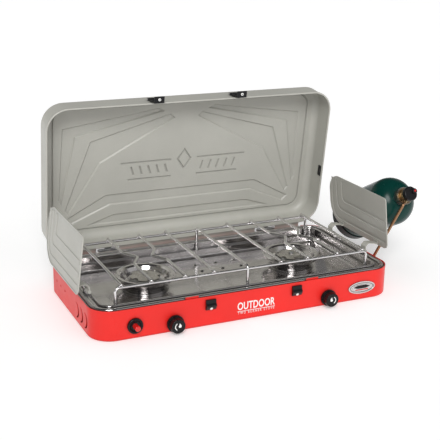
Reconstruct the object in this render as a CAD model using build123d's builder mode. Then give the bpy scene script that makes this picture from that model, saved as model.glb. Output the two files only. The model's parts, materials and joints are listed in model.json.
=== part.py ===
from build123d import *
from math import cos, radians, sin
import os

# Two-burner suitcase camp stove, open and ready to cook.
# Origin: centre of the case footprint on the ground. X to the right, Y to the back, Z up. Millimetres.

# ---- driving dimensions ----
CASE_W = 597.0
CASE_D = 290.0
CASE_H = 56.0
CORNER_R = 42.0
CASE_FOOT_R = 4.0
SHEET = 1.0

LEDGE_Z = 52.0
LEDGE_INSET = 8.0

TRAY_Z = 53.0
TRAY_T = 0.8
TRAY_GAP = 0.4
BEAD_OUT = 5.0
BEAD_IN = 13.0
BEAD_H = 5.0
SHELF_INSET = 21.0
SHELF_Z = 44.0
RIDGE_IN = 25.6
WELL_INSET = 32.0
FLOOR_Z = 29.0
TRAY_HOLE_R = 40.0

BURNER_X = 154.0
BOWL_R = 57.5
BOWL_TOP = 58.0
HEAD_R = 30.0

GRATE_WIRE = 5.6
GRATE_Z = 90.5
GRATE_HALF = 116.0
BAR_X = (241.0, 186.0, 122.5, 67.0)
KINK = 18.0
KINK_RUN = 31.0

KNOB_X = 153.5
KNOB_Z = 17.0
IGNITER_Z = 24.5
KNOB_R = 15.5
KNOB_L = 17.0
IGNITER_X = -226.5
CATCH_X = 86.0
TAB_X = 120.0
TAB_Y = -CASE_D / 2 + 2.9
TAB_W = 25.0
HINGE_NOTCH = (151.0, 199.0)
REAR_CUT = 3.1
FLANGE = 5.2
SKIRT = 12.4
HEM_W = CASE_W / 2 - CORNER_R - HINGE_NOTCH[1]
HEM_MIDS = [side * (HINGE_NOTCH[1] + HEM_W / 2) for side in (-1, 1)]
BADGE_X = 227.0
BADGE_Z = 25.5

HINGE_Y = CASE_D / 2 + 5.5
HINGE_Z = CASE_H + 0.5
LID_LEAN = 7.5
LID_H = 54.0
LID_EDGE_R = 15.0
HINGE_X = 175.0

PIVOT_X = 282.0
PIVOT_Z = 65.5
PIVOT_WIRE = 4.0
PANEL_LEAN = 7.0
PANEL_OFFSET = 30.5
PANEL_H = 106.0
PANEL_FRONT = -101.0
PANEL_BACK = 108.0
ARM_Y = (-62.0, 64.0)

INLET_Y = -50.0
INLET_Z = 38.0
CYL_X = 373.5
CYL_Y = -56.5
CYL_Z = 164.5
CYL_DROP = 28.0
CYL_R = 49.0
CYL_L = 200.0

front_side = Plane(origin=(0, -CASE_D / 2, 0), x_dir=(1, 0, 0), z_dir=(0, -1, 0))
back_side = Plane(origin=(0, CASE_D / 2, 0), x_dir=(-1, 0, 0), z_dir=(0, 1, 0))
left_side = Plane(origin=(-CASE_W / 2, 0, 0), x_dir=(0, -1, 0), z_dir=(-1, 0, 0))
right_side = Plane(origin=(CASE_W / 2, 0, 0), x_dir=(0, 1, 0), z_dir=(1, 0, 0))
lid_rim = Plane(
    origin=(0, HINGE_Y, HINGE_Z),
    x_dir=(1, 0, 0),
    z_dir=(0, -cos(radians(LID_LEAN)), -sin(radians(LID_LEAN))),
)


def case_outline(inset, mode=Mode.ADD):
    """Rounded footprint of the case, moved inwards by inset."""
    return RectangleRounded(CASE_W - 2 * inset, CASE_D - 2 * inset, CORNER_R - inset, mode=mode)


def wire(points, diameter, bend):
    """Round bar along the points with bent corners."""
    with BuildPart() as rod:
        with BuildLine() as path:
            if bend > 0 and len(points) > 2:
                FilletPolyline(*points, radius=bend)
            else:
                Polyline(*points)
        with BuildSketch(Plane(origin=path.line @ 0, z_dir=path.line % 0)):
            Circle(diameter / 2)
        sweep(path=path.line)
    return rod.part


def mirrored(part):
    """The same piece on the other side of the stove."""
    with BuildPart() as other:
        add(part)
        mirror(about=Plane.YZ, mode=Mode.REPLACE)
    return other.part


os.makedirs("parts", exist_ok=True)

# ---- case ----
with BuildPart() as base_case:
    with BuildSketch(Plane.XY):
        case_outline(0)
    extrude(amount=CASE_H)
    fillet(base_case.faces().sort_by(Axis.Z)[0].edges(), CASE_FOOT_R)
    offset(amount=-SHEET, openings=base_case.faces().sort_by(Axis.Z)[-1])
    with BuildSketch(Plane.XY.offset(LEDGE_Z)):
        case_outline(SHEET / 2)
        case_outline(LEDGE_INSET, mode=Mode.SUBTRACT)
    extrude(amount=SHEET)
    with BuildSketch(Plane.XY.offset(LEDGE_Z)):
        with Locations((-TAB_X, TAB_Y), (TAB_X, TAB_Y)):
            Rectangle(TAB_W, 0.8)
    extrude(amount=CASE_H + 3.5 - LEDGE_Z)
    with BuildSketch(back_side.offset(0.5)):
        with Locations((0, CASE_H)):
            Rectangle(CASE_W - 2 * CORNER_R, 2 * REAR_CUT)
    extrude(amount=-2, mode=Mode.SUBTRACT)
    with BuildSketch(front_side):
        with Locations((-KNOB_X, KNOB_Z), (KNOB_X, KNOB_Z)):
            Circle(5.5)
        with Locations((IGNITER_X, IGNITER_Z)):
            Circle(9.4)
    extrude(amount=-3, mode=Mode.SUBTRACT)
    with BuildSketch(right_side):
        with Locations((INLET_Y, INLET_Z)):
            Circle(7.2)
    extrude(amount=-3, mode=Mode.SUBTRACT)
    with BuildSketch(left_side):
        for vent in (57, 81, 106):
            with BuildLine():
                ThreePointArc((vent - 17, 39), (vent, 25), (vent - 17, 11))
                ThreePointArc((vent - 17, 11), (vent - 6, 25), (vent - 17, 39))
            make_face()
        with Locations((-83, 33), (-56, 33), (-29, 33)):
            Circle(2.5)
    extrude(amount=-3, mode=Mode.SUBTRACT)
base_case.part.label = "base_case"

# ---- tray ----
with BuildPart() as well_outer:
    with BuildSketch(Plane.XY.offset(SHELF_Z - TRAY_T)):
        case_outline(SHELF_INSET - TRAY_T)
    extrude(amount=TRAY_Z + TRAY_T - SHELF_Z + TRAY_T)
    fillet(well_outer.faces().sort_by(Axis.Z)[0].edges(), 4.0)
    with BuildSketch(Plane.XY.offset(FLOOR_Z - TRAY_T)):
        case_outline(WELL_INSET - TRAY_T)
    extrude(amount=SHELF_Z - FLOOR_Z)
    fillet(well_outer.faces().sort_by(Axis.Z)[0].edges(), 6.0)

with BuildPart() as well_inner:
    with BuildSketch(Plane.XY.offset(SHELF_Z)):
        case_outline(SHELF_INSET)
    extrude(amount=TRAY_Z + TRAY_T - SHELF_Z + 10)
    fillet(well_inner.faces().sort_by(Axis.Z)[0].edges(), 3.2)
    with BuildSketch(Plane.XY.offset(FLOOR_Z)):
        case_outline(WELL_INSET)
    extrude(amount=SHELF_Z - FLOOR_Z)
    fillet(well_inner.faces().sort_by(Axis.Z)[0].edges(), 5.2)

with BuildPart() as ridge:
    with BuildSketch(Plane.XY.offset(SHELF_Z - TRAY_T)):
        case_outline(SHELF_INSET - TRAY_T)
        case_outline(RIDGE_IN, mode=Mode.SUBTRACT)
    extrude(amount=TRAY_Z + BEAD_H - SHELF_Z + TRAY_T)
    fillet(ridge.edges().group_by(Axis.Z)[-1], 2.2)
    with BuildSketch(Plane.XY.offset(SHELF_Z - TRAY_T)):
        case_outline(SHELF_INSET)
        case_outline(RIDGE_IN - TRAY_T, mode=Mode.SUBTRACT)
    extrude(amount=TRAY_Z + BEAD_H - SHELF_Z - TRAY_T, mode=Mode.SUBTRACT)

ELECTRODE_DX = 27.2
ELECTRODE_DY = 20.4
electrode_spots = (
    (-BURNER_X + ELECTRODE_DX, ELECTRODE_DY),
    (BURNER_X - ELECTRODE_DX, ELECTRODE_DY),
)
with BuildPart() as drip_tray:
    with BuildSketch(Plane.XY.offset(TRAY_Z)):
        case_outline(SHEET + TRAY_GAP)
        with Locations(*[(x, CASE_D / 2 + FLANGE / 2 - 0.8) for x in HEM_MIDS]):
            Rectangle(HEM_W, FLANGE + 1.6)
        with Locations((0, CASE_D / 2 + FLANGE / 2 - 0.8)):
            Rectangle(2 * HINGE_NOTCH[0], FLANGE + 1.6)
    extrude(amount=TRAY_T)
    with BuildSketch(Plane.XY.offset(TRAY_Z)):
        case_outline(BEAD_OUT)
        case_outline(BEAD_IN, mode=Mode.SUBTRACT)
    extrude(amount=BEAD_H)
    fillet(drip_tray.edges().group_by(Axis.Z)[-1], 3.4)
    with BuildSketch(Plane.XY.offset(TRAY_Z)):
        case_outline(BEAD_OUT + 1.7)
        case_outline(BEAD_IN - 1.7, mode=Mode.SUBTRACT)
    extrude(amount=BEAD_H - 1.1, mode=Mode.SUBTRACT)
    with BuildSketch(Plane.XY.offset(TRAY_Z - 1)):
        with Locations((-TAB_X, TAB_Y - 1), (TAB_X, TAB_Y - 1)):
            Rectangle(TAB_W + 1.5, 3.6)
    extrude(amount=4, mode=Mode.SUBTRACT)
    add(well_outer.part)
    add(well_inner.part, mode=Mode.SUBTRACT)
    with BuildSketch(Plane.XY.offset(SHELF_Z - 2 * TRAY_T)):
        case_outline(SHELF_INSET)
        case_outline(RIDGE_IN - TRAY_T, mode=Mode.SUBTRACT)
    extrude(amount=3 * TRAY_T, mode=Mode.SUBTRACT)
    add(ridge.part)
    with BuildSketch(Plane.XY.offset(FLOOR_Z)):
        with Locations((-BURNER_X, 0), (BURNER_X, 0)):
            Circle(TRAY_HOLE_R + 4)
            Circle(TRAY_HOLE_R, mode=Mode.SUBTRACT)
    extrude(amount=2.0)
    with BuildSketch(Plane.XY.offset(FLOOR_Z - 5)):
        with Locations((-BURNER_X, 0), (BURNER_X, 0)):
            Circle(TRAY_HOLE_R)
    extrude(amount=10, mode=Mode.SUBTRACT)
    with Locations(*[(x, y, FLOOR_Z) for x in (-62, -22, 22, 62) for y in (38, 72)]):
        Cone(bottom_radius=5.0, top_radius=2.0, height=2.6, align=(Align.CENTER, Align.CENTER, Align.MIN))
drip_tray.part.label = "drip_tray"

SCREW_Y = CASE_D / 2 - 16.5
with BuildPart() as tray_screws:
    with Locations(*[(x, y, TRAY_Z + TRAY_T) for x in (-200, 0, 200) for y in (-SCREW_Y, SCREW_Y)]):
        Cylinder(2.6, 1.4, align=(Align.CENTER, Align.CENTER, Align.MIN))
    fillet(tray_screws.edges().group_by(Axis.Z)[-1], 0.8)
tray_screws.part.label = "tray_screws"

# ---- pot grate ----
bar_wires = []
for x in BAR_X:
    for side in (-1, 1):
        ends = GRATE_HALF + 1.5
        if x in (BAR_X[1], BAR_X[2]):
            tip = x - KINK if x > BURNER_X else x + KINK
            line = [
                (side * x, -ends, GRATE_Z),
                (side * x, -KINK_RUN, GRATE_Z),
                (side * tip, 0, GRATE_Z),
                (side * x, KINK_RUN, GRATE_Z),
                (side * x, ends, GRATE_Z),
            ]
            bar_wires.append(wire(line, GRATE_WIRE, 6.0))
        else:
            line = [(side * x, -ends, GRATE_Z), (side * x, ends, GRATE_Z)]
            bar_wires.append(wire(line, GRATE_WIRE, 0))
RAIL_Z = GRATE_Z - GRATE_WIRE + 0.4
rail_wires = [
    wire(
        [(-251, y, SHELF_Z), (-251, y, RAIL_Z), (251, y, RAIL_Z), (251, y, SHELF_Z)],
        GRATE_WIRE,
        8.0,
    )
    for y in (-GRATE_HALF, GRATE_HALF)
]
MID_LEG_Y = GRATE_HALF
mid_wire = wire(
    [(0, -MID_LEG_Y, SHELF_Z), (0, -MID_LEG_Y, GRATE_Z), (0, MID_LEG_Y, GRATE_Z), (0, MID_LEG_Y, SHELF_Z)],
    GRATE_WIRE,
    6.0,
)
with BuildPart() as grate:
    for rod in bar_wires + rail_wires + [mid_wire]:
        add(rod)
    with Locations(*[(side * x, y, GRATE_Z) for side in (-1, 1) for x in BAR_X for y in (-GRATE_HALF - 1.5, GRATE_HALF + 1.5)]):
        Sphere(GRATE_WIRE / 2)
grate.part.label = "grate"

# ---- burners ----
with BuildPart() as bowl:
    with BuildSketch(Plane.XZ):
        with BuildLine():
            Polyline(
                (14.5, 40.0), (33.0, 40.0), (37.5, 42.5), (42.0, 48.0), (45.5, 54.5), (49.0, BOWL_TOP - 0.8),
                (52.0, BOWL_TOP), (55.0, BOWL_TOP - 0.8), (BOWL_R, 55.0), (BOWL_R, 52.2), (55.4, 49.4),
                (49.0, 45.0), (43.4, 39.8), (40.2, 34.8), (39.8, 32.2), (43.5, 32.2), (43.5, 31.0), (38.6, 31.0),
                (38.9, 34.8), (42.4, 40.6), (48.2, 46.0), (54.4, 50.2), (56.2, 52.8), (56.2, 54.6),
                (54.2, BOWL_TOP - 2.0), (52.0, BOWL_TOP - 1.3), (49.8, BOWL_TOP - 2.0), (46.6, 54.0),
                (43.1, 47.4), (38.4, 41.6), (33.4, 38.8), (14.5, 38.8), close=True,
            )
        make_face()
    revolve(axis=Axis.Z)
    with BuildSketch(Plane.XY.offset(33)):
        with PolarLocations(25, 6, start_angle=12):
            Circle(2.2)
        with Locations((ELECTRODE_DX, ELECTRODE_DY)):
            Circle(3.9)
    extrude(amount=15, mode=Mode.SUBTRACT)

with BuildPart() as burner_bowl_left:
    with Locations((-BURNER_X, 0, 0)):
        add(bowl.part)
burner_bowl_left.part.label = "burner_bowl_left"
burner_bowl_right_part = mirrored(burner_bowl_left.part)
burner_bowl_right_part.label = "burner_bowl_right"

with BuildPart() as head:
    with BuildSketch(Plane.XZ):
        with BuildLine():
            Polyline(
                (0, 10.0), (11, 10.0), (13, 14), (13, 28.0), (17, 32.0), (17, 38.7), (14.2, 38.7), (14.2, 40.2),
                (24, 40.2), (HEAD_R - 2, 42.0), (HEAD_R - 2, 50.0), (HEAD_R - 5, 51.0), (8, 51.0), (4, 48.0),
                (0, 48.0), close=True,
            )
        make_face()
    revolve(axis=Axis.Z)
    with BuildSketch(Plane.XY.offset(43)):
        with PolarLocations(HEAD_R - 2, 28):
            Rectangle(9, 1.6)
    extrude(amount=6, mode=Mode.SUBTRACT)
    with Locations((0, 0, 44)):
        Cylinder(2.1, 20, mode=Mode.SUBTRACT)

with BuildPart() as burner_head_left:
    with Locations((-BURNER_X, 0, 0)):
        add(head.part)
burner_head_left.part.label = "burner_head_left"
burner_head_right_part = mirrored(burner_head_left.part)
burner_head_right_part.label = "burner_head_right"

with BuildPart() as cap:
    with BuildSketch(Plane.XZ):
        with BuildLine():
            Polyline((2.4, 51.2), (HEAD_R - 4, 51.2), (HEAD_R - 1, 52.2), (HEAD_R - 1, 53.4), (20, 55.4), (2.4, 55.4), close=True)
        make_face()
    revolve(axis=Axis.Z)
    with BuildSketch(Plane.XY.offset(50)):
        with PolarLocations(HEAD_R, 6, start_angle=30):
            Circle(6.5)
    extrude(amount=8, mode=Mode.SUBTRACT)

with BuildPart() as burner_cap_left:
    with Locations((-BURNER_X, 0, 0)):
        add(cap.part)
burner_cap_left.part.label = "burner_cap_left"
burner_cap_right_part = mirrored(burner_cap_left.part)
burner_cap_right_part.label = "burner_cap_right"

with BuildPart() as burner_screws:
    with Locations((-BURNER_X, 0, 44), (BURNER_X, 0, 44)):
        Cylinder(2.0, 11.5, align=(Align.CENTER, Align.CENTER, Align.MIN))
    with Locations((-BURNER_X, 0, 55.4), (BURNER_X, 0, 55.4)):
        Cylinder(4.6, 2.4, align=(Align.CENTER, Align.CENTER, Align.MIN))
    fillet(burner_screws.edges().group_by(Axis.Z)[-1], 1.2)
    with Locations((-BURNER_X, 0, 57.4), (BURNER_X, 0, 57.4)):
        Box(7.0, 1.0, 1.4, mode=Mode.SUBTRACT)
        Box(1.0, 7.0, 1.4, mode=Mode.SUBTRACT)
burner_screws.part.label = "burner_screws"

VENTURI_Z = 18.0
with BuildPart() as venturi_left:
    with BuildSketch(Plane.XZ.offset(13.2)):
        with Locations((-BURNER_X, VENTURI_Z)):
            Circle(7.0)
    with BuildSketch(Plane.XZ.offset(60)):
        with Locations((-BURNER_X + 1, VENTURI_Z)):
            Circle(6.0)
    with BuildSketch(Plane.XZ.offset(100)):
        with Locations((-KNOB_X, VENTURI_Z + 2)):
            Circle(8.0)
    loft()
    with BuildSketch(Plane.XZ.offset(102)):
        with Locations((-KNOB_X, VENTURI_Z + 2)):
            Circle(6.6)
    extrude(amount=-20, mode=Mode.SUBTRACT)
venturi_left.part.label = "venturi_left"
venturi_right_part = mirrored(venturi_left.part)
venturi_right_part.label = "venturi_right"

with BuildPart() as burner_brackets:
    with BuildSketch(Plane.XY.offset(SHEET)):
        with Locations((-BURNER_X, 20), (BURNER_X, 20)):
            Rectangle(26, 76)
    extrude(amount=1.5)
    with BuildSketch(Plane.XY.offset(SHEET)):
        with Locations((-BURNER_X, 0), (BURNER_X, 0)):
            Circle(12)
    extrude(amount=10.0 - SHEET)
burner_brackets.part.label = "burner_brackets"

# ---- gas train ----
VALVE_BACK = -CASE_D / 2 + 42.0
MANIFOLD_Y = -CASE_D / 2 + 24.0
MANIFOLD_Z = 5.4
with BuildPart() as valve_left:
    with BuildSketch(Plane.XZ.offset(CASE_D / 2 - 2)):
        with Locations((-KNOB_X, KNOB_Z)):
            Circle(5.0)
    extrude(amount=-10)
    with BuildSketch(Plane.XZ.offset(CASE_D / 2 - 12)):
        with Locations((-KNOB_X, KNOB_Z)):
            RegularPolygon(7.9, 6)
    extrude(amount=-18)
    with BuildSketch(Plane.XZ.offset(CASE_D / 2 - 29)):
        with Locations((-KNOB_X, VENTURI_Z + 2)):
            Circle(4.0)
    extrude(amount=-12)
    with BuildSketch(Plane.XY.offset(MANIFOLD_Z + 4.0)):
        with Locations((-KNOB_X, MANIFOLD_Y)):
            Circle(5.5)
    extrude(amount=6)
    with BuildSketch(Plane.XZ.offset(CASE_D / 2)):
        with Locations((-KNOB_X, KNOB_Z)):
            Circle(3.05)
    extrude(amount=-20, mode=Mode.SUBTRACT)
valve_left.part.label = "valve_left"
valve_right_part = mirrored(valve_left.part)
valve_right_part.label = "valve_right"

with BuildPart() as valve_stem_left:
    with BuildSketch(Plane.XZ.offset(CASE_D / 2 + 16)):
        with Locations((-KNOB_X, KNOB_Z)):
            Circle(3.0)
    extrude(amount=-34)
valve_stem_left.part.label = "valve_stem_left"
valve_stem_right_part = mirrored(valve_stem_left.part)
valve_stem_right_part.label = "valve_stem_right"

knob_face = Plane(origin=(-KNOB_X, -CASE_D / 2 - 1.5, KNOB_Z), x_dir=(1, 0, 0), z_dir=(0, -1, 0))
with BuildPart() as knob_left:
    with BuildSketch(knob_face):
        Circle(KNOB_R)
    extrude(amount=4)
    with BuildSketch(knob_face.offset(4)):
        Circle(KNOB_R - 2)
    extrude(amount=KNOB_L - 4, taper=2.5)
    fillet(knob_left.faces().sort_by(Axis.Y)[0].edges(), 1.2)
    with BuildSketch(knob_face.offset(4)):
        with PolarLocations(KNOB_R - 0.8, 16):
            Circle(2.0)
    extrude(amount=KNOB_L, mode=Mode.SUBTRACT)
    with BuildSketch(knob_face.offset(-1)):
        Circle(3.02)
    extrude(amount=16, mode=Mode.SUBTRACT)
    with BuildSketch(knob_face.offset(KNOB_L - 0.5)):
        Circle(10.8)
        Circle(9.9, mode=Mode.SUBTRACT)
    extrude(amount=1, mode=Mode.SUBTRACT)

with BuildPart() as knob_mark_left:
    with BuildSketch(knob_face.offset(KNOB_L - 0.6)):
        with BuildLine():
            ThreePointArc((-2.8, 6.6), (-7.0, 0.4), (-3.2, -6.2))
            Line((-3.2, -6.2), (-2.6, -4.9))
            ThreePointArc((-2.6, -4.9), (-5.5, 0.4), (-2.2, 5.4))
            Line((-2.2, 5.4), (-2.8, 6.6))
        make_face()
        with BuildLine():
            Polyline((0.6, -1.8), (-0.4, 0.6), (1.2, 3.0), (1.6, 6.4), (4.6, 3.0), (5.2, 0.2), (3.8, -1.8), close=True)
        make_face()
    extrude(amount=0.9)
knob_mark_left.part.label = "knob_mark_left"
with BuildPart() as knob_left_cut:
    add(knob_left.part)
    add(knob_mark_left.part, mode=Mode.SUBTRACT)
knob_left_cut.part.label = "knob_left"
knob_right_part = mirrored(knob_left_cut.part)
knob_right_part.label = "knob_right"
knob_mark_right_part = mirrored(knob_mark_left.part)
knob_mark_right_part.label = "knob_mark_right"

RISER_X = 273.0
manifold_line = [
    (-KNOB_X - 10, MANIFOLD_Y, MANIFOLD_Z),
    (RISER_X, MANIFOLD_Y, MANIFOLD_Z),
    (RISER_X, INLET_Y, MANIFOLD_Z),
    (RISER_X, INLET_Y, INLET_Z),
    (284, INLET_Y, INLET_Z),
]
manifold_pipe = wire(manifold_line, 8.0, 6.0)
with BuildPart() as gas_manifold:
    add(manifold_pipe)
gas_manifold.part.label = "gas_manifold"

with BuildPart() as inlet_fitting:
    with BuildSketch(right_side.offset(-14.5)):
        with Locations((INLET_Y, INLET_Z)):
            Circle(7.0)
    extrude(amount=18.5)
    with BuildSketch(right_side):
        with Locations((INLET_Y, INLET_Z)):
            RegularPolygon(11.5, 6)
    extrude(amount=3)
    with BuildSketch(right_side.offset(-6)):
        with Locations((INLET_Y, INLET_Z)):
            RegularPolygon(11.0, 6)
    extrude(amount=6 - SHEET)
    with BuildSketch(right_side.offset(2)):
        with Locations((INLET_Y, INLET_Z)):
            Circle(3.6)
    extrude(amount=8, mode=Mode.SUBTRACT)
inlet_fitting.part.label = "inlet_fitting"

# ---- igniter ----
igniter_face = Plane(origin=(IGNITER_X, -CASE_D / 2, IGNITER_Z), x_dir=(1, 0, 0), z_dir=(0, -1, 0))
with BuildPart() as igniter_bezel:
    with BuildSketch(igniter_face):
        Circle(14.0)
    extrude(amount=4.5)
    fillet(igniter_bezel.faces().sort_by(Axis.Y)[0].edges(), 1.6)
    with BuildSketch(igniter_face.offset(4.5)):
        Circle(11.0)
    extrude(amount=-2.6, taper=45, mode=Mode.SUBTRACT)
    with BuildSketch(igniter_face.offset(-16)):
        Circle(9.2)
    extrude(amount=16)
    with BuildSketch(igniter_face.offset(-20)):
        Circle(5.06)
    extrude(amount=30, mode=Mode.SUBTRACT)
igniter_bezel.part.label = "igniter_bezel"

with BuildPart() as igniter_button:
    with BuildSketch(igniter_face.offset(-8)):
        Circle(5.0)
    extrude(amount=25)
    fillet(igniter_button.faces().sort_by(Axis.Y)[0].edges(), 1.5)
igniter_button.part.label = "igniter_button"

with BuildPart() as igniter_nut:
    with BuildSketch(igniter_face.offset(-SHEET - 5)):
        RegularPolygon(13, 6)
        Circle(9.2, mode=Mode.SUBTRACT)
    extrude(amount=5)
igniter_nut.part.label = "igniter_nut"

with BuildPart() as igniter_body:
    with BuildSketch(igniter_face.offset(-29.5)):
        Circle(8.0)
    extrude(amount=13.5)
    with BuildSketch(igniter_face.offset(-35.5)):
        with Locations((-3, 0), (3, 0)):
            Circle(1.6)
    extrude(amount=6)
igniter_body.part.label = "igniter_body"

with BuildPart() as electrodes:
    with Locations(*[(x, y, 12.0) for x, y in electrode_spots]):
        Cylinder(3.4, 34, align=(Align.CENTER, Align.CENTER, Align.MIN))
    with Locations(*[(x, y, 46.0) for x, y in electrode_spots]):
        Cylinder(1.0, 6, align=(Align.CENTER, Align.CENTER, Align.MIN))
electrodes.part.label = "electrodes"

piezo_back = -CASE_D / 2 + 35.5
wire_left = wire(
    [
        (IGNITER_X - 3, piezo_back, IGNITER_Z),
        (IGNITER_X - 3, piezo_back + 8, IGNITER_Z),
        (IGNITER_X - 3, piezo_back + 50, 8),
        (-BURNER_X + ELECTRODE_DX, piezo_back + 50, 8),
        (-BURNER_X + ELECTRODE_DX, ELECTRODE_DY, 8),
        (-BURNER_X + ELECTRODE_DX, ELECTRODE_DY, 12),
    ],
    2.4,
    3.0,
)
wire_right = wire(
    [
        (IGNITER_X + 3, piezo_back, IGNITER_Z),
        (IGNITER_X + 3, piezo_back + 8, IGNITER_Z),
        (IGNITER_X + 3, piezo_back + 38, 4),
        (IGNITER_X + 3, 66, 4),
        (BURNER_X - ELECTRODE_DX, 66, 4),
        (BURNER_X - ELECTRODE_DX, ELECTRODE_DY, 4),
        (BURNER_X - ELECTRODE_DX, ELECTRODE_DY, 12),
    ],
    2.4,
    3.0,
)
with BuildPart() as ignition_wires:
    add(wire_left)
    add(wire_right)
ignition_wires.part.label = "ignition_wires"

# ---- front trim ----
with BuildPart() as badge:
    with BuildSketch(front_side):
        with Locations((BADGE_X, BADGE_Z)):
            Ellipse(29, 12)
    extrude(amount=1.2)
    with BuildSketch(front_side.offset(1.2)):
        with Locations((BADGE_X, BADGE_Z)):
            Ellipse(29, 12)
            Ellipse(27.2, 10.3, mode=Mode.SUBTRACT)
    extrude(amount=0.6)
    with BuildSketch(front_side.offset(1.2)):
        with Locations((BADGE_X, BADGE_Z)):
            Ellipse(21, 6.0)
    extrude(amount=0.5)
badge.part.label = "badge"

catch_section = Plane(origin=(-CATCH_X, -CASE_D / 2, 0), x_dir=(0, -1, 0), z_dir=(-1, 0, 0))
with BuildPart() as catch:
    with BuildSketch(catch_section):
        with BuildLine():
            Polyline((0, 50.5), (0, 31.5), (2.2, 31.5), (6.6, 38.5), (6.6, 41.2), (4.0, 43.8), (3.0, 50.5), close=True)
        make_face()
    extrude(amount=9.5, both=True)
    fillet(catch.edges().filter_by(Axis.X), 0.6)
with BuildPart() as latch_catches:
    add(catch.part)
    add(mirrored(catch.part))
latch_catches.part.label = "latch_catches"

rivet_face = Plane(origin=(-CATCH_X, -CASE_D / 2 - 4.1, 34.5), x_dir=(1, 0, 0), z_dir=(0, -7.0, -4.4))
with BuildPart() as rivet:
    with BuildSketch(rivet_face):
        Circle(2.7)
    extrude(amount=1.3)
    fillet(rivet.faces().sort_by(Axis.Y)[0].edges(), 0.8)
with BuildPart() as catch_rivets:
    add(rivet.part)
    add(mirrored(rivet.part))
catch_rivets.part.label = "catch_rivets"

# ---- lid ----
lid_axis = Axis((0, 0, 0), lid_rim.z_dir)
EMBOSS = 2.4
BORDER_W = 548.0
BORDER_D = 253.0
BORDER_R = 24.0
EMBOSS_TAPER = 45.0
lid_bands = []
for side in (-1, 1):
    outer_fan = [(-262, 92), (-255, 239), (-60, 268), (-46, 261), (-228, 220), (-255, 80)]
    inner_fan = [(-249, 68), (-199, 209), (-34, 255), (-24, 246), (-178, 162), (-241, 58)]
    for fan in (outer_fan, inner_fan):
        lid_bands.append([(side * u, v) for u, v in fan])
lid_bands += [
    [(-250, 48), (-165, 94), (165, 94), (250, 48), (238, 36), (156, 71), (-156, 71), (-238, 36)],
    [(-205, 31), (-148, 50), (148, 50), (205, 31)],
]
emblem_lines = [[(0, 176), (-14, 156), (0, 136), (14, 156), (0, 176)]]
for side in (-1, 1):
    emblem_lines.append([(side * 28, 157), (side * 136, 157)])
    emblem_lines.append([(side * 28, 121), (side * 120, 121)])
    for u in (36, 54, 72, 90, 108):
        emblem_lines.append([(side * u, 130), (side * (u + 6), 149)])

with BuildPart() as lid_shell:
    with BuildSketch(lid_rim):
        with Locations((0, HINGE_Y)):
            RectangleRounded(CASE_W, CASE_D, CORNER_R)
    extrude(amount=-LID_H)
    fillet(lid_shell.faces().sort_by(lid_axis)[0].edges(), LID_EDGE_R)
    offset(amount=-SHEET, openings=lid_shell.faces().sort_by(lid_axis)[-1])
    with BuildSketch(lid_rim):
        with Locations((0, HINGE_Y)):
            RectangleRounded(CASE_W + 3, CASE_D + 3, CORNER_R + 1.5)
            RectangleRounded(CASE_W - 4, CASE_D - 4, CORNER_R - 2, mode=Mode.SUBTRACT)
    extrude(amount=-3)
    fillet(lid_shell.faces().sort_by(lid_axis)[-1].edges(), 1.5)
    with BuildSketch(lid_rim.offset(-3.4)):
        with Locations(*[(u, 6 - SKIRT / 2) for u in HEM_MIDS]):
            Rectangle(HEM_W, SKIRT)
        with Locations((0, 6 - SKIRT / 2)):
            Rectangle(2 * HINGE_NOTCH[0], SKIRT)
    extrude(amount=-1.0)
    for depth, mode, grow in ((LID_H, Mode.ADD, 3.2), (LID_H - SHEET, Mode.SUBTRACT, 2.2)):
        with BuildSketch(lid_rim.offset(-depth)):
            with Locations((0, HINGE_Y)):
                RectangleRounded(BORDER_W + 2 * grow, BORDER_D + 2 * grow, BORDER_R + grow)
                RectangleRounded(BORDER_W - 2 * grow, BORDER_D - 2 * grow, BORDER_R - grow, mode=Mode.SUBTRACT)
        extrude(amount=-EMBOSS, taper=EMBOSS_TAPER - 15, mode=mode)
    for depth, mode in ((LID_H, Mode.ADD), (LID_H - SHEET, Mode.SUBTRACT)):
        for band in lid_bands:
            with BuildSketch(lid_rim.offset(-depth)):
                with BuildLine():
                    Polyline(*band, close=True)
                make_face()
            extrude(amount=-EMBOSS, taper=EMBOSS_TAPER, mode=mode)
    for depth, mode, width in ((LID_H, Mode.ADD, 6.4), (LID_H - SHEET, Mode.SUBTRACT, 4.4)):
        with BuildSketch(lid_rim.offset(-depth)):
            for line in emblem_lines:
                with BuildLine():
                    Polyline(*line)
                trace(line_width=width)
        extrude(amount=-EMBOSS, taper=EMBOSS_TAPER - 10, mode=mode)
lid_shell.part.label = "lid_shell"

front_wall = HINGE_Y + CASE_D / 2
LATCH_PIN_V = front_wall + 3.0
LATCH_PIN_W = -20.8
latch_section = Plane(
    origin=lid_rim.from_local_coords((-CATCH_X, 0, 0)), x_dir=lid_rim.y_dir, z_dir=lid_rim.x_dir
)
with BuildPart() as lid_latch_left:
    with BuildSketch(latch_section):
        with BuildLine():
            Polyline(
                (front_wall + 0.8, -22.8), (front_wall + 0.8, -9), (front_wall + 4.6, -3), (front_wall + 4.6, 12),
                (front_wall + 17.0, 12), (front_wall + 17.0, 9.4), (front_wall + 6.8, 9.4), (front_wall + 6.8, -5),
                (front_wall + 4.6, -10), (front_wall + 4.6, -22.8), close=True,
            )
        make_face()
        with Locations((LATCH_PIN_V, LATCH_PIN_W)):
            Circle(0.9, mode=Mode.SUBTRACT)
    extrude(amount=10, both=True)
lid_latch_left.part.label = "lid_latch_left"
lid_latch_right_part = mirrored(lid_latch_left.part)
lid_latch_right_part.label = "lid_latch_right"

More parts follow.
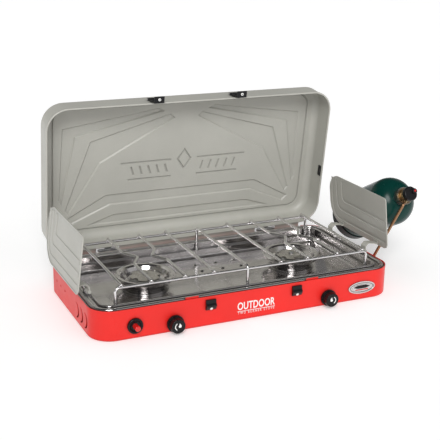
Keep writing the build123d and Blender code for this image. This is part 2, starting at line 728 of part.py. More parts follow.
with BuildPart() as latch_bracket:
    for ear in (-11.9, 10.3):
        with BuildSketch(latch_section.offset(ear)):
            with Locations((front_wall + 2.6, LATCH_PIN_W)):
                Rectangle(5.2, 5)
        extrude(amount=1.6)
    with BuildSketch(latch_section.offset(-12.5)):
        with Locations((LATCH_PIN_V, LATCH_PIN_W)):
            Circle(0.85)
    extrude(amount=25)
with BuildPart() as latch_brackets:
    add(latch_bracket.part)
    add(mirrored(latch_bracket.part))
latch_brackets.part.label = "latch_brackets"

latch_face = Plane(
    origin=lid_rim.from_local_coords((-CATCH_X, front_wall + 11.5, 12)), x_dir=lid_rim.x_dir, z_dir=lid_rim.z_dir
)
with BuildPart() as latch_rivet_left:
    with BuildSketch(latch_face):
        Circle(2.8)
    extrude(amount=1.4)
    fillet(latch_rivet_left.faces().sort_by(lid_axis)[-1].edges(), 0.9)
latch_rivet_left.part.label = "latch_rivet_left"
latch_rivet_right_part = mirrored(latch_rivet_left.part)
latch_rivet_right_part.label = "latch_rivet_right"

# ---- lid hinges ----
hinge_section = Plane(origin=(HINGE_X, 0, 0), x_dir=(0, 1, 0), z_dir=(1, 0, 0))
lid_hinge_section = Plane(
    origin=lid_rim.from_local_coords((HINGE_X, 0, 0)), x_dir=lid_rim.y_dir, z_dir=lid_rim.x_dir
)
KNUCKLE_R = 3.0
with BuildPart() as base_leaf:
    with BuildSketch(hinge_section.offset(-20)):
        with BuildLine():
            Polyline(
                (CASE_D / 2, 30), (CASE_D / 2 + 1.4, 30), (CASE_D / 2 + 1.4, 50), (HINGE_Y + 1, HINGE_Z - 2),
                (HINGE_Y - 1, HINGE_Z - 1), (CASE_D / 2 + 1.0, 53.5), (CASE_D / 2, 53.5), close=True,
            )
        make_face()
        with Locations((HINGE_Y, HINGE_Z)):
            Circle(KNUCKLE_R)
            Circle(1.56, mode=Mode.SUBTRACT)
    extrude(amount=40)
    with BuildSketch(hinge_section.offset(-7)):
        with Locations((HINGE_Y + 1.5, HINGE_Z - 0.6)):
            Rectangle(9, 9)
    extrude(amount=14, mode=Mode.SUBTRACT)
with BuildPart() as hinge_leaves_base:
    add(base_leaf.part)
    add(mirrored(base_leaf.part))
hinge_leaves_base.part.label = "hinge_leaves_base"

with BuildPart() as lid_leaf:
    with BuildSketch(lid_hinge_section.offset(-6.7)):
        with BuildLine():
            Polyline((5.5, -25), (4.1, -25), (4.1, -8), (-1, -2), (1, -1), (5.0, -4.3), (5.5, -4.3), close=True)
        make_face()
        Circle(KNUCKLE_R)
        Circle(1.56, mode=Mode.SUBTRACT)
    extrude(amount=13.4)
    with BuildSketch(lid_hinge_section.offset(-20)):
        with Locations((4.8, -17)):
            Rectangle(1.4, 16)
    extrude(amount=40)
with BuildPart() as hinge_leaves_lid:
    add(lid_leaf.part)
    add(mirrored(lid_leaf.part))
hinge_leaves_lid.part.label = "hinge_leaves_lid"

with BuildPart() as hinge_pins:
    for side in (-1, 1):
        with BuildSketch(Plane(origin=(side * HINGE_X - 21, HINGE_Y, HINGE_Z), z_dir=(1, 0, 0))):
            Circle(1.5)
        extrude(amount=42)
        with BuildSketch(Plane(origin=(side * HINGE_X - 22.2, HINGE_Y, HINGE_Z), z_dir=(1, 0, 0))):
            Circle(2.4)
        extrude(amount=1.8)
hinge_pins.part.label = "hinge_pins"

with BuildPart() as hinge_rivets:
    with BuildSketch(back_side.offset(1.4)):
        with Locations(*[(x, z) for x in (-187, -163, 163, 187) for z in (35, 45)]):
            Circle(2.4)
    extrude(amount=1.2)
hinge_rivets.part.label = "hinge_rivets"

lid_side = Plane(
    origin=lid_rim.from_local_coords((CASE_W / 2 - SHEET, 0, 0)),
    x_dir=lid_rim.y_dir,
    z_dir=(-1, 0, 0),
)
with BuildPart() as lid_clip:
    with BuildSketch(lid_side):
        with Locations((118, 9)):
            RectangleRounded(22, 12, 2)
    extrude(amount=1.4)
    with BuildSketch(lid_side):
        with Locations((118, 9)):
            SlotOverall(12, 3)
    extrude(amount=3, mode=Mode.SUBTRACT)
with BuildPart() as lid_clips:
    add(lid_clip.part)
    add(mirrored(lid_clip.part))
lid_clips.part.label = "lid_clips"

# ---- folding wind panels ----
lean = radians(PANEL_LEAN)
PANEL_BZ = 8.5
PANEL_BX = (PANEL_OFFSET - PANEL_BZ * sin(lean)) / cos(lean)
panel_plane = Plane(
    origin=(PIVOT_X + PANEL_BX, 0, PIVOT_Z + PANEL_BZ), x_dir=(0, 1, 0), z_dir=(cos(lean), 0, sin(lean))
)
PANEL_RIBS = ((96, 14, 26), (78, 36, 16), (57, 58, 9))
panel_corners = (
    ((PANEL_FRONT, 0), 12.0),
    ((PANEL_BACK, 0), 45.0),
    ((PANEL_BACK, PANEL_H), 36.0),
    ((PANEL_FRONT, PANEL_H), 7.0),
)
with BuildSketch(Plane.XY) as panel_outline:
    with BuildLine():
        Polyline(*[corner for corner, radius in panel_corners], close=True)
    make_face()
    for (y, t), radius in panel_corners:
        fillet(panel_outline.vertices().sort_by_distance((y, t, 0))[0], radius)

with BuildPart() as wind_panel_right:
    with BuildSketch(panel_plane.offset(-0.5)):
        add(panel_outline.sketch)
    extrude(amount=1.0)
    with BuildSketch(panel_plane.offset(0.5)):
        add(panel_outline.sketch)
        offset(panel_outline.sketch, amount=-2.6, mode=Mode.SUBTRACT)
    extrude(amount=0.9)
    for face, mode, width in ((0.5, Mode.ADD, 8.0), (-0.5, Mode.SUBTRACT, 6.0)):
        for y, t, radius in PANEL_RIBS:
            with BuildSketch(panel_plane.offset(face)):
                with BuildLine():
                    FilletPolyline((y, PANEL_H - 6), (y, t), (PANEL_FRONT + 6, t), radius=radius)
                trace(line_width=width)
            extrude(amount=1.1, taper=EMBOSS_TAPER - 10, mode=mode)
wind_panel_right.part.label = "wind_panel_right"
wind_panel_left_part = mirrored(wind_panel_right.part)
wind_panel_left_part.label = "wind_panel_left"


def beside_panel(t, gap):
    """Point t up the panel and gap off its middle, measured from the pivot."""
    return PANEL_BX - t * sin(lean) + gap * cos(lean), PANEL_BZ + t * cos(lean) + gap * sin(lean)


ARM_POINTS = (beside_panel(9, -1.25), beside_panel(1, -1.25), (19, 13.5), (6, 15), (0, 9), (0, 0))
ARM_W = 16.0
with BuildPart() as panel_arms_right:
    for y in ARM_Y:
        with BuildSketch(Plane.XZ.offset(-y - ARM_W / 2)):
            with BuildLine():
                FilletPolyline(*[(PIVOT_X + x, PIVOT_Z + z) for x, z in ARM_POINTS], radius=2.6)
            trace(line_width=1.4)
            with Locations((PIVOT_X, PIVOT_Z)):
                Circle(3.2)
        extrude(amount=ARM_W)
    with BuildSketch(Plane.XZ.offset(-ARM_Y[1] - 8)):
        with Locations((PIVOT_X, PIVOT_Z)):
            Circle(PIVOT_WIRE / 2)
    extrude(amount=ARM_Y[1] - ARM_Y[0] + 16)
panel_arms_right.part.label = "panel_arms_right"
panel_arms_left_part = mirrored(panel_arms_right.part)
panel_arms_left_part.label = "panel_arms_left"

with BuildPart() as clip_pair:
    for y in (ARM_Y[0] + 16, ARM_Y[1] - 16):
        with BuildSketch(Plane.XZ.offset(-y - 5)):
            with Locations((PIVOT_X, (PIVOT_Z + TRAY_Z + TRAY_T) / 2)):
                Rectangle(6.8, PIVOT_Z - TRAY_Z - TRAY_T)
            with Locations((PIVOT_X, PIVOT_Z)):
                Circle(3.4)
                Circle(PIVOT_WIRE / 2 + 0.06, mode=Mode.SUBTRACT)
        extrude(amount=10)
with BuildPart() as pivot_clips:
    add(clip_pair.part)
    add(mirrored(clip_pair.part))
pivot_clips.part.label = "pivot_clips"

# ---- regulator and gas cylinder ----
drop = radians(CYL_DROP)
cylinder_frame = Plane(origin=(CYL_X, CYL_Y, CYL_Z), x_dir=(1, 0, 0), z_dir=(0, cos(drop), -sin(drop)))

with BuildPart() as cylinder_shape:
    with BuildSketch(Plane.XZ):
        with BuildLine():
            Line((0, 12), (13, 12))
            ThreePointArc((13, 12), (39, 24), (CYL_R, 52))
            Line((CYL_R, 52), (CYL_R, 184))
            ThreePointArc((CYL_R, 184), (46.0, 192), (38, 196))
            ThreePointArc((38, 196), (29, 192.5), (20, 190))
            Line((20, 190), (0, 190))
            Line((0, 190), (0, 188.8))
            Line((0, 188.8), (20, 188.8))
            ThreePointArc((20, 188.8), (29, 191.2), (37.6, 194.7))
            ThreePointArc((37.6, 194.7), (45.0, 191), (CYL_R - 1.2, 184))
            Line((CYL_R - 1.2, 184), (CYL_R - 1.2, 52))
            ThreePointArc((CYL_R - 1.2, 52), (38, 25), (13, 13.2))
            Line((13, 13.2), (0, 13.2))
            Line((0, 13.2), (0, 12))
        make_face()
    revolve(axis=Axis.Z)
with BuildPart() as gas_cylinder:
    with Locations(cylinder_frame.location):
        add(cylinder_shape.part)
gas_cylinder.part.label = "gas_cylinder"

with BuildPart() as valve_shape:
    Cylinder(16, 3, align=(Align.CENTER, Align.CENTER, Align.MIN))
    with Locations((0, 0, -11)):
        Cylinder(12, 11, align=(Align.CENTER, Align.CENTER, Align.MIN))
        Cylinder(4.5, 7, align=(Align.CENTER, Align.CENTER, Align.MIN), mode=Mode.SUBTRACT)
with BuildPart() as cylinder_valve:
    with Locations(cylinder_frame.offset(9).location):
        add(valve_shape.part)
cylinder_valve.part.label = "cylinder_valve"

with BuildPart() as foot_shape:
    with BuildSketch(Plane.XZ):
        with BuildLine():
            Polyline((CYL_R, 180), (CYL_R + 1.6, 180), (CYL_R + 1.6, 200), (45, 203), (42, 203), (42, 200), (CYL_R, 197), close=True)
        make_face()
    revolve(axis=Axis.Z)
with BuildPart() as cylinder_foot:
    with Locations(cylinder_frame.location):
        add(foot_shape.part)
    add(gas_cylinder.part, mode=Mode.SUBTRACT)
cylinder_foot.part.label = "cylinder_foot"

port_plane = Plane(origin=(0, 0, -11), z_dir=(-0.75, 1, 0))
with BuildPart() as regulator_shape:
    with BuildSketch(Plane.XY.offset(-18)):
        Circle(13.0)
    extrude(amount=14)
    with BuildSketch(Plane.XY.offset(-5)):
        Circle(15.5)
    extrude(amount=13)
    with Locations((0, 0, -2.5)):
        Cylinder(12.1, 20, align=(Align.CENTER, Align.CENTER, Align.MIN), mode=Mode.SUBTRACT)
    with BuildSketch(port_plane.offset(9)):
        Circle(5.0)
    extrude(amount=9)
    with BuildSketch(port_plane.offset(14)):
        Circle(3.1)
    extrude(amount=6, mode=Mode.SUBTRACT)
with BuildPart() as regulator_body:
    with Locations(cylinder_frame.location):
        add(regulator_shape.part)
regulator_body.part.label = "regulator_body"

with BuildPart() as collar_shape:
    with BuildSketch(Plane.XY.offset(-3)):
        Circle(18.0)
        with PolarLocations(18.0, 24):
            Circle(1.1, mode=Mode.SUBTRACT)
        Circle(15.5, mode=Mode.SUBTRACT)
    extrude(amount=9)
with BuildPart() as regulator_collar:
    with Locations(cylinder_frame.location):
        add(collar_shape.part)
regulator_collar.part.label = "regulator_collar"

NUB = (7.0, -3.5)
with BuildPart() as cap_shape:
    with BuildSketch(Plane.XY.offset(-18)):
        Circle(14.5)
    extrude(amount=-8)
    fillet(cap_shape.edges().group_by(Axis.Z)[0], 2.2)
    with BuildSketch(Plane.XY.offset(-24)):
        with Locations(NUB):
            Circle(5.2)
    extrude(amount=-7)
    fillet(cap_shape.edges().group_by(Axis.Z)[0], 1.4)
with BuildPart() as regulator_cap:
    with Locations(cylinder_frame.location):
        add(cap_shape.part)
regulator_cap.part.label = "regulator_cap"

with BuildPart() as cap_dot:
    with BuildSketch(cylinder_frame.offset(-31)):
        with Locations(NUB):
            Circle(2.2)
    extrude(amount=-0.5)
cap_dot.part.label = "cap_dot"

port_points = [cylinder_frame.from_local_coords(port_plane.from_local_coords((0, 0, r))) for r in (14.5, 25)]
TUBE_X = CASE_W / 2 + 14.5
tube_pipe = wire(
    [
        tuple(port_points[0]),
        tuple(port_points[1]),
        (TUBE_X, INLET_Y, INLET_Z),
        (CASE_W / 2 + 2.6, INLET_Y, INLET_Z),
    ],
    6.0,
    6.0,
)
with BuildPart() as regulator_tube:
    add(tube_pipe)
regulator_tube.part.label = "regulator_tube"

with BuildPart() as tube_nut:
    with BuildSketch(right_side.offset(4)):
        with Locations((INLET_Y, INLET_Z)):
            RegularPolygon(9.0, 6)
            Circle(3.05, mode=Mode.SUBTRACT)
    extrude(amount=5)
tube_nut.part.label = "tube_nut"

pieces = [
    base_case.part,
    drip_tray.part,
    tray_screws.part,
    grate.part,
    burner_bowl_left.part,
    burner_bowl_right_part,
    burner_head_left.part,
    burner_head_right_part,
    burner_cap_left.part,
    burner_cap_right_part,
    burner_screws.part,
    venturi_left.part,
    venturi_right_part,
    burner_brackets.part,
    valve_left.part,
    valve_right_part,
    valve_stem_left.part,
    valve_stem_right_part,
    knob_left_cut.part,
    knob_right_part,
    knob_mark_left.part,
    knob_mark_right_part,
    gas_manifold.part,
    inlet_fitting.part,
    igniter_bezel.part,
    igniter_button.part,
    igniter_nut.part,
    igniter_body.part,
    electrodes.part,
    ignition_wires.part,
    badge.part,
    latch_catches.part,
    catch_rivets.part,
    lid_shell.part,
    lid_latch_left.part,
    lid_latch_right_part,
    latch_brackets.part,
    latch_rivet_left.part,
    latch_rivet_right_part,
    hinge_leaves_base.part,
    hinge_leaves_lid.part,
    hinge_pins.part,
    hinge_rivets.part,
    lid_clips.part,
    wind_panel_left_part,
    wind_panel_right.part,
    panel_arms_left_part,
    panel_arms_right.part,
    pivot_clips.part,
    gas_cylinder.part,
    cylinder_valve.part,
    cylinder_foot.part,
    regulator_body.part,
    regulator_collar.part,
    regulator_cap.part,
    cap_dot.part,
    regulator_tube.part,
    tube_nut.part,
]
for piece in pieces:
    export_step(piece, "parts/" + piece.label + ".step")
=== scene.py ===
import json
import math

import bmesh
import bpy
from mathutils import Matrix, Vector


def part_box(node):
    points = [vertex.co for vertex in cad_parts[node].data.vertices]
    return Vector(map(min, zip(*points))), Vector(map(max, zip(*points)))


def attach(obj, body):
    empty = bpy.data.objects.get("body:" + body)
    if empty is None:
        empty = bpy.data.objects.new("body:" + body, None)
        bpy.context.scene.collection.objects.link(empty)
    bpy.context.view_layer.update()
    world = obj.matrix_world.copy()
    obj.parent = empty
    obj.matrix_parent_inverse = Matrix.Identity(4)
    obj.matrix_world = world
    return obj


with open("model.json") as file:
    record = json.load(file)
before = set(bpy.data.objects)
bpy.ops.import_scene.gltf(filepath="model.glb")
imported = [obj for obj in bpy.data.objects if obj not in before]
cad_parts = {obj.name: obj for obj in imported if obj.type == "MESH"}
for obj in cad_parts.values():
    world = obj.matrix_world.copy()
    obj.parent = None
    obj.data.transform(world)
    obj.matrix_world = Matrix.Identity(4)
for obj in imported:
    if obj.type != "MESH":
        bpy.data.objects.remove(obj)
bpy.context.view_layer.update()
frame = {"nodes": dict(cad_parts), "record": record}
nodes = frame["nodes"]
MM = 0.001
MICRON = 0.000001


# ---------------------------------------------------------------- materials

class Graph:
    """A material's node tree, with short calls for the nodes used here."""

    def __init__(self, name):
        self.material = bpy.data.materials.new(name)
        self.material.use_nodes = True
        self.tree = self.material.node_tree
        self.surface = self.tree.nodes["Principled BSDF"]
        self.place = self.tree.nodes.new("ShaderNodeTexCoord").outputs["Object"]

    def put(self, socket, value):
        if isinstance(value, bpy.types.NodeSocket):
            self.tree.links.new(value, socket)
        elif value is not None:
            if socket.type == "RGBA" and len(value) == 3:
                value = (*value, 1)
            socket.default_value = value

    def add(self, kind, inputs, **settings):
        node = self.tree.nodes.new(kind)
        for key, value in settings.items():
            setattr(node, key, value)
        for key, value in inputs.items():
            self.put(node.inputs[key], value)
        return node

    def scaled(self, scale):
        return self.add("ShaderNodeMapping", {"Vector": self.place, "Scale": scale}).outputs[0]

    def noise(self, scale, detail=2.0, rough=0.5, vector=None):
        inputs = {"Vector": vector or self.place, "Scale": scale, "Detail": detail, "Roughness": rough}
        return self.add("ShaderNodeTexNoise", inputs).outputs["Fac"]

    def span(self, value, low, high, to_low=0.0, to_high=1.0):
        """The value's range from low to high, stretched to run from to_low to to_high."""
        inputs = {"Value": value, "From Min": low, "From Max": high, "To Min": to_low, "To Max": to_high}
        return self.add("ShaderNodeMapRange", inputs).outputs[0]

    def math(self, operation, a, b):
        return self.add("ShaderNodeMath", {0: a, 1: b}, operation=operation).outputs[0]

    def mix(self, share, a, b):
        node = self.add("ShaderNodeMix", {}, data_type="RGBA")
        self.put(node.inputs[0], share)
        self.put(node.inputs[6], a)
        self.put(node.inputs[7], b)
        return node.outputs[2]

    def layer(self, base, mask, share, color):
        """The base colour with color over it, at most share strong, where the mask is high."""
        return self.mix(self.math("MULTIPLY", mask, share), base, color)

    def bump(self, height, depth, normal=None):
        return self.add("ShaderNodeBump", {"Height": height, "Distance": depth, "Normal": normal}).outputs[0]

    def rounded(self, radius):
        """The surface normal with every sharp edge eased over radius."""
        return self.add("ShaderNodeBevel", {"Radius": radius}, samples=4).outputs[0]

    def crease(self, reach):
        """How hidden this spot is from open space within reach: 0 in the open, 1 deep in a crease; places
        painted shade.
        """
        occlusion = self.add("ShaderNodeAmbientOcclusion", {"Distance": reach}, samples=6)
        return self.span(occlusion.outputs["AO"], 1.0, 0.45)

    def edge(self, radius):
        """How strongly this spot is a sharp edge, from the normal rounded over radius; marks edge wear and
        painted highlight.
        """
        normal = self.add("ShaderNodeNewGeometry", {}).outputs["Normal"]
        inputs = {0: self.rounded(radius), 1: normal}
        agreement = self.add("ShaderNodeVectorMath", inputs, operation="DOT_PRODUCT").outputs["Value"]
        return self.span(agreement, 0.985, 0.9)

    def finish(self, **values):
        for key, value in values.items():
            self.put(self.surface.inputs[key.replace("_", " ")], value)
        return self.material


def shade(color, gain, lift=0.0):
    return tuple(min(1, c * gain + lift) for c in color)


def painted(name, color, wear_and_highlight, rough, flake=0.0, coat=0.08, gloss=0.5):
    """Sprayed paint: orange peel, slight mottling, fine flake, scuffs, edges paler from wear and painted
    highlight, painted shade in creases.
    """
    g = Graph(name)
    mottling = g.span(g.noise(9, 4, 0.6), 0.3, 0.7)
    base = g.mix(mottling, shade(color, 0.93), shade(color, 1.05))
    if flake:
        grains = g.span(g.noise(2600, 2, 0.8), 0.35, 0.68)
        base = g.layer(base, grains, flake, shade(color, 1.35, 0.03))
    scuffs = g.span(g.noise(55, 8, 0.72, g.scaled((1, 1, 3))), 0.62, 0.76)
    base = g.layer(base, scuffs, 0.12, wear_and_highlight)
    # sharp edges paler: partly worn paint, partly a painted highlight along edges
    base = g.layer(base, g.edge(0.6 * MM), 0.35, wear_and_highlight)
    # painted shade: the paint colour darkened in creases and hollows
    base = g.layer(base, g.crease(6 * MM), 0.4, shade(color, 0.35))
    sheen = g.span(g.noise(24, 5, 0.65), 0.3, 0.75, rough - 0.05, rough + 0.07)
    roughness = g.math("ADD", sheen, g.math("MULTIPLY", scuffs, 0.15))
    peel = g.math("ADD", g.noise(420, 3, 0.5), g.math("MULTIPLY", g.noise(1500), 0.3))
    normal = g.bump(peel, 30 * MICRON, g.rounded(0.5 * MM))
    return g.finish(Base_Color=base, Roughness=roughness, Coat_Weight=coat, Coat_Roughness=0.22,
                    Specular_IOR_Level=gloss, Normal=normal)


def metal(name, color, rough, grain, depth, tarnish, dirt=0.25, crease_shade=0.5, stretch=(1, 1, 1), wave=0.0):
    """Bare metal: polishing lines, cloudy sheen, stains, painted shade in creases and slow waviness in the
    sheet.
    """
    g = Graph(name)
    clouds = g.span(g.noise(16, 6, 0.62), 0.32, 0.72)
    lines = g.noise(grain, 3, 0.6, g.scaled(stretch))
    stains = g.span(g.noise(38, 7, 0.7), 0.55, 0.74)
    base = g.mix(clouds, shade(color, 0.9), shade(color, 1.06))
    base = g.layer(base, stains, dirt, tarnish)
    # painted shade: the metal colour darkened in creases and hollows
    base = g.layer(base, g.crease(9 * MM), crease_shade, shade(color, 0.22))
    cloudy = g.span(clouds, 0, 1, rough * 0.85, rough * 1.15)
    brushed = g.span(lines, 0.3, 0.7, 0, rough * 0.4)
    normal = g.bump(lines, depth)
    if wave:
        normal = g.bump(g.noise(11, 2, 0.45), wave, normal)
    return g.finish(Base_Color=base, Roughness=g.math("ADD", cloudy, brushed), Metallic=1.0, Normal=normal)


def moulded(name, color, rough, grain=1400.0, depth=20 * MICRON, coat=0.0, dust=0.06, gloss=0.5):
    """Moulded plastic or glaze: fine spark texture, dust in patches, edges tinted by rubbing and painted
    highlight.
    """
    g = Graph(name)
    haze = g.span(g.noise(60, 6, 0.7), 0.45, 0.75)
    base = g.layer(color, haze, dust, shade(color, 0.8, 0.06))
    # edges tinted: partly rubbed plastic, partly a painted highlight along edges
    base = g.layer(base, g.edge(0.4 * MM), 0.25, shade(color, 0.7, 0.08))
    roughness = g.span(g.noise(120, 5, 0.6), 0.3, 0.7, rough - 0.06, rough + 0.08)
    normal = g.bump(g.noise(grain, 4, 0.6), depth, g.rounded(0.3 * MM))
    return g.finish(Base_Color=base, Roughness=roughness, Coat_Weight=coat, Coat_Roughness=0.1,
                    Specular_IOR_Level=gloss, Normal=normal)


RECIPES = {
    "red_paint": (painted, dict(
        color=(0.74, 0.02, 0.015), wear_and_highlight=(0.8, 0.12, 0.09), rough=0.36, coat=0.06, gloss=0.3)),
    "silver_paint": (painted, dict(
        color=(0.42, 0.415, 0.375), wear_and_highlight=(0.64, 0.625, 0.58), rough=0.4, flake=0.3)),
    "green_paint": (painted, dict(
        color=(0.0006, 0.034, 0.027), wear_and_highlight=(0.03, 0.09, 0.07), rough=0.22, gloss=0.2)),
    "tray_steel": (metal, dict(
        color=(0.72, 0.7, 0.695), rough=0.13, grain=1100, depth=1.2 * MICRON, tarnish=(0.36, 0.28, 0.2),
        dirt=0.05, crease_shade=0.75, stretch=(0.03, 1, 1), wave=40 * MICRON)),
    "plated_wire": (metal, dict(
        color=(0.78, 0.77, 0.77), rough=0.2, grain=500, depth=12 * MICRON, tarnish=(0.3, 0.26, 0.2),
        dirt=0.35)),
    "zinc_steel": (metal, dict(
        color=(0.62, 0.62, 0.63), rough=0.26, grain=380, depth=20 * MICRON, tarnish=(0.36, 0.34, 0.3))),
    "cast_aluminium": (metal, dict(
        color=(0.46, 0.46, 0.45), rough=0.42, grain=260, depth=100 * MICRON, tarnish=(0.2, 0.19, 0.17),
        dirt=0.5)),
    "cap_steel": (metal, dict(
        color=(0.58, 0.56, 0.53), rough=0.2, grain=700, depth=10 * MICRON, tarnish=(0.34, 0.27, 0.2),
        dirt=0.4)),
    "brass": (metal, dict(
        color=(0.4, 0.28, 0.15), rough=0.24, grain=420, depth=18 * MICRON, tarnish=(0.2, 0.11, 0.05),
        dirt=0.6)),
    "bronze_tube": (metal, dict(
        color=(0.36, 0.2, 0.11), rough=0.24, grain=380, depth=10 * MICRON, tarnish=(0.14, 0.07, 0.04),
        dirt=0.5)),
    "regulator_ring": (metal, dict(
        color=(0.42, 0.4, 0.36), rough=0.24, grain=380, depth=20 * MICRON, tarnish=(0.18, 0.15, 0.12),
        dirt=0.4)),
    "black_plastic": (moulded, dict(color=(0.006, 0.006, 0.007), rough=0.3, gloss=0.25)),
    "white_print": (moulded, dict(color=(0.82, 0.82, 0.8), rough=0.4, dust=0.2)),
    "red_plastic": (moulded, dict(color=(0.6, 0.012, 0.01), rough=0.24, coat=0.4)),
    "ceramic": (moulded, dict(
        color=(0.8, 0.77, 0.68), rough=0.16, grain=300, depth=40 * MICRON, coat=0.6, dust=0.3)),
    "wire_cover": (moulded, dict(
        color=(0.03, 0.03, 0.032), rough=0.5, grain=900, depth=40 * MICRON, gloss=0.3)),
}
finishes = {name: make(name, **recipe) for name, (make, recipe) in RECIPES.items()}
for part in frame["record"]["subparts"]:
    shown = nodes[part["node"]]
    shown.data.materials.clear()
    shown.data.materials.append(finishes[part["material_slot"]])


# ---------------------------------------------------------------- added pieces

CASE_FRONT = -0.145
LID_LEAN = math.radians(7.5)
SUNK = 0.05 * MM
PRINT_THICK = 0.2 * MM
SMALL_PRINT_THICK = 0.18 * MM
LETTER_RISE = 1.4


def placed(name, mesh, body, slot_name):
    """An object for the mesh, painted with the slot's finish and moving with the body."""
    made = bpy.data.objects.new(name, mesh)
    bpy.context.scene.collection.objects.link(made)
    mesh.materials.clear()
    mesh.materials.append(finishes[slot_name])
    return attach(made, body)


def relief(name, outlines, origin, across, up, thick, body, slot_name):
    """Raised flat shapes: outlines in millimetres on the plane at origin, thick metres proud of it."""
    across = Vector(across).normalized()
    up = Vector(up).normalized()
    outward = across.cross(up)
    shape = bmesh.new()
    for outline in outlines:
        spots = [Vector(origin) + across * (u * MM) + up * (v * MM) for u, v in outline]
        lower = [shape.verts.new(spot) for spot in spots]
        upper = [shape.verts.new(spot + outward * thick) for spot in spots]
        shape.faces.new(upper)
        shape.faces.new(list(reversed(lower)))
        count = len(spots)
        for k in range(count):
            after = (k + 1) % count
            shape.faces.new((lower[k], lower[after], upper[after], upper[k]))
    bmesh.ops.recalc_face_normals(shape, faces=shape.faces)
    mesh = bpy.data.meshes.new(name)
    shape.to_mesh(mesh)
    shape.free()
    return placed(name, mesh, body, slot_name)


def front_relief(name, outlines, origin, thick, slot_name):
    """Raised flat shapes facing forwards on the case."""
    return relief(name, outlines, origin, (1, 0, 0), (0, 0, 1), thick, "case", slot_name)


def oval_point(half_w, half_h, k, steps):
    angle = 2 * math.pi * k / steps
    return half_w * math.cos(angle), half_h * math.sin(angle)


def bar(u0, v0, u1, v1):
    return [(u0, v0), (u1, v0), (u1, v1), (u0, v1)]


def lettering(name, words, width, u, v, thick, bold):
    """Plain white words on the case front, width millimetres wide, lower left corner at (u, v)."""
    curve = bpy.data.curves.new(name, "FONT")
    curve.body = words
    curve.extrude = 0.5
    curve.offset = bold
    curve.resolution_u = 3
    source = bpy.data.objects.new(name + "_source", curve)
    bpy.context.scene.collection.objects.link(source)
    bpy.context.view_layer.update()
    mesh = bpy.data.meshes.new_from_object(source.evaluated_get(bpy.context.evaluated_depsgraph_get()))
    bpy.data.objects.remove(source)
    low = min(vertex.co.x for vertex in mesh.vertices)
    high = max(vertex.co.x for vertex in mesh.vertices)
    stretch = width / (high - low)
    for vertex in mesh.vertices:
        x, y, z = vertex.co
        vertex.co = (
            (u + (x - low) * stretch) * MM,
            CASE_FRONT - (z + curve.extrude) * thick,
            (v + y * stretch * LETTER_RISE) * MM,
        )
    mesh.name = name
    return placed(name, mesh, "case", "white_print")


# printing on the case front
lettering("front_lettering", "OUTDOOR", 75.0, -33.0, 20.6, PRINT_THICK, 0.018)
lettering("front_small_lettering", "T W O   B U R N E R   S T O V E", 73.0, -32.0, 12.2,
          SMALL_PRINT_THICK, 0.0)
front_relief("front_rule", [bar(-33, 17.3, 42, 18.1)], (0, CASE_FRONT, 0), PRINT_THICK, "white_print")

# a plain lens, a stripe and a border line on the badge
BADGE_RELIEF = 0.3 * MM
BADGE_FACE = 0.7 * MM
RING_STEPS = 64
RING_OUTER = (25.4, 9.0)
RING_INNER = (24.6, 8.3)
LENS = [(-18, 1.2), (-9, 4.6), (9, 4.6), (18, 1.2), (9, -1.6), (-9, -1.6)]
badge_low, badge_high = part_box("badge")
badge_mid = (badge_low + badge_high) / 2
badge_front = (badge_mid.x, badge_low.y + SUNK, badge_mid.z)
badge_rim = (badge_mid.x, badge_low.y + BADGE_FACE, badge_mid.z)
badge_ring = [
    [
        oval_point(*RING_OUTER, k, RING_STEPS),
        oval_point(*RING_OUTER, k + 1, RING_STEPS),
        oval_point(*RING_INNER, k + 1, RING_STEPS),
        oval_point(*RING_INNER, k, RING_STEPS),
    ]
    for k in range(RING_STEPS)
]
front_relief("badge_field", [LENS], badge_front, BADGE_RELIEF, "black_plastic")
front_relief("badge_stripe", [bar(-14, -5.0, 14, -3.2)], badge_front, BADGE_RELIEF, "red_plastic")
front_relief("badge_line", badge_ring, badge_rim, BADGE_RELIEF, "black_plastic")

# a dark eye in the face of each latch rivet, facing out of the open lid's rim
EYE_R = 1.0
EYE_STEPS = 20
EYE_THICK = 0.15 * MM
lid_out = Vector((0, -math.cos(LID_LEAN), -math.sin(LID_LEAN))).normalized()
eye_across = lid_out.orthogonal().normalized()
eye_outline = [oval_point(EYE_R, EYE_R, k, EYE_STEPS) for k in range(EYE_STEPS)]
for side_name in ("left", "right"):
    rivet = "latch_rivet_" + side_name
    low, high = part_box(rivet)
    middle = (low + high) / 2
    reach = max((vertex.co - middle).dot(lid_out) for vertex in nodes[rivet].data.vertices)
    relief("latch_rivet_eye_" + side_name, [eye_outline], middle + lid_out * (reach - SUNK), eye_across,
           lid_out.cross(eye_across), EYE_THICK, "latch_" + side_name, "black_plastic")

# beads of weld where the grate's bars meet its rails
WELD_BARS = (67.0, 122.5, 186.0, 241.0)
WELD_RAIL = 116.0
WELD_SPREAD = 2.6
WELD_DROP = 5.3
WELD_SIZE = (1.9, 2.6, 1.7)
weld_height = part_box("grate")[1].z - WELD_DROP * MM
weld_shape = Matrix.Diagonal((*(size * MM for size in WELD_SIZE), 1))
beads = bmesh.new()
for side in (-1, 1):
    for bar_x in WELD_BARS:
        for rail_y in (-WELD_RAIL, WELD_RAIL):
            for spread in (-WELD_SPREAD, WELD_SPREAD):
                spot = Matrix.Translation((side * bar_x * MM + spread * MM, rail_y * MM, weld_height))
                bmesh.ops.create_icosphere(beads, subdivisions=2, radius=1.0, matrix=spot @ weld_shape)
for face in beads.faces:
    face.smooth = True
bead_mesh = bpy.data.meshes.new("grate_welds")
beads.to_mesh(bead_mesh)
beads.free()
placed("grate_welds", bead_mesh, "grate", "plated_wire")


# ---------------------------------------------------------------- stage

FLOOR_REACH = 40
FLOOR_HEIGHT = -0.4 * MM
FLOOR_GLOW = 0.24


